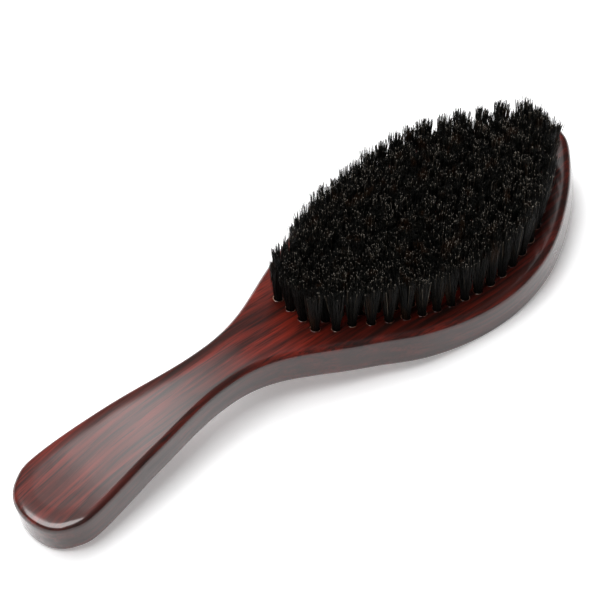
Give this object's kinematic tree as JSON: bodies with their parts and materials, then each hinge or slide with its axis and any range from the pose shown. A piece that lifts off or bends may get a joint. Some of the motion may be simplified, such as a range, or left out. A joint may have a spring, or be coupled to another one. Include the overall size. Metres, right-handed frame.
{
  "type": "beard brush",
  "caption": "One-piece bent wooden brush with a rounded handle, a narrow neck and a pointed oval head full of bristle tufts.",
  "frame": {"origin": "under the middle of the whole brush, on the surface it lies on", "axes": "+X from the handle's end to the tip of the head, +Y across the head, +Z the way the bristles point"},
  "size_m": [0.2216, 0.069, 0.0354],
  "materials": {
    "wood": "dark red streaked wood under glossy clear lacquer",
    "bristle": "natural black bristle, satin strands with brown and grey glints"
  },
  "bodies": {
    "root": {"brush_body": "wood", "tuft_row_01": "bristle", "tuft_row_02": "bristle", "tuft_row_03": "bristle", "tuft_row_04": "bristle", "tuft_row_05": "bristle", "tuft_row_06": "bristle", "tuft_row_07": "bristle", "tuft_row_08": "bristle", "tuft_row_09": "bristle", "tuft_row_10": "bristle", "tuft_row_11": "bristle", "tuft_row_12": "bristle", "tuft_row_13": "bristle", "tuft_row_14": "bristle", "tuft_row_15": "bristle", "tuft_row_16": "bristle", "tuft_row_17": "bristle", "tuft_row_18": "bristle", "tuft_row_19": "bristle", "tuft_row_20": "bristle", "tuft_row_21": "bristle"}
  },
  "joints": []
}
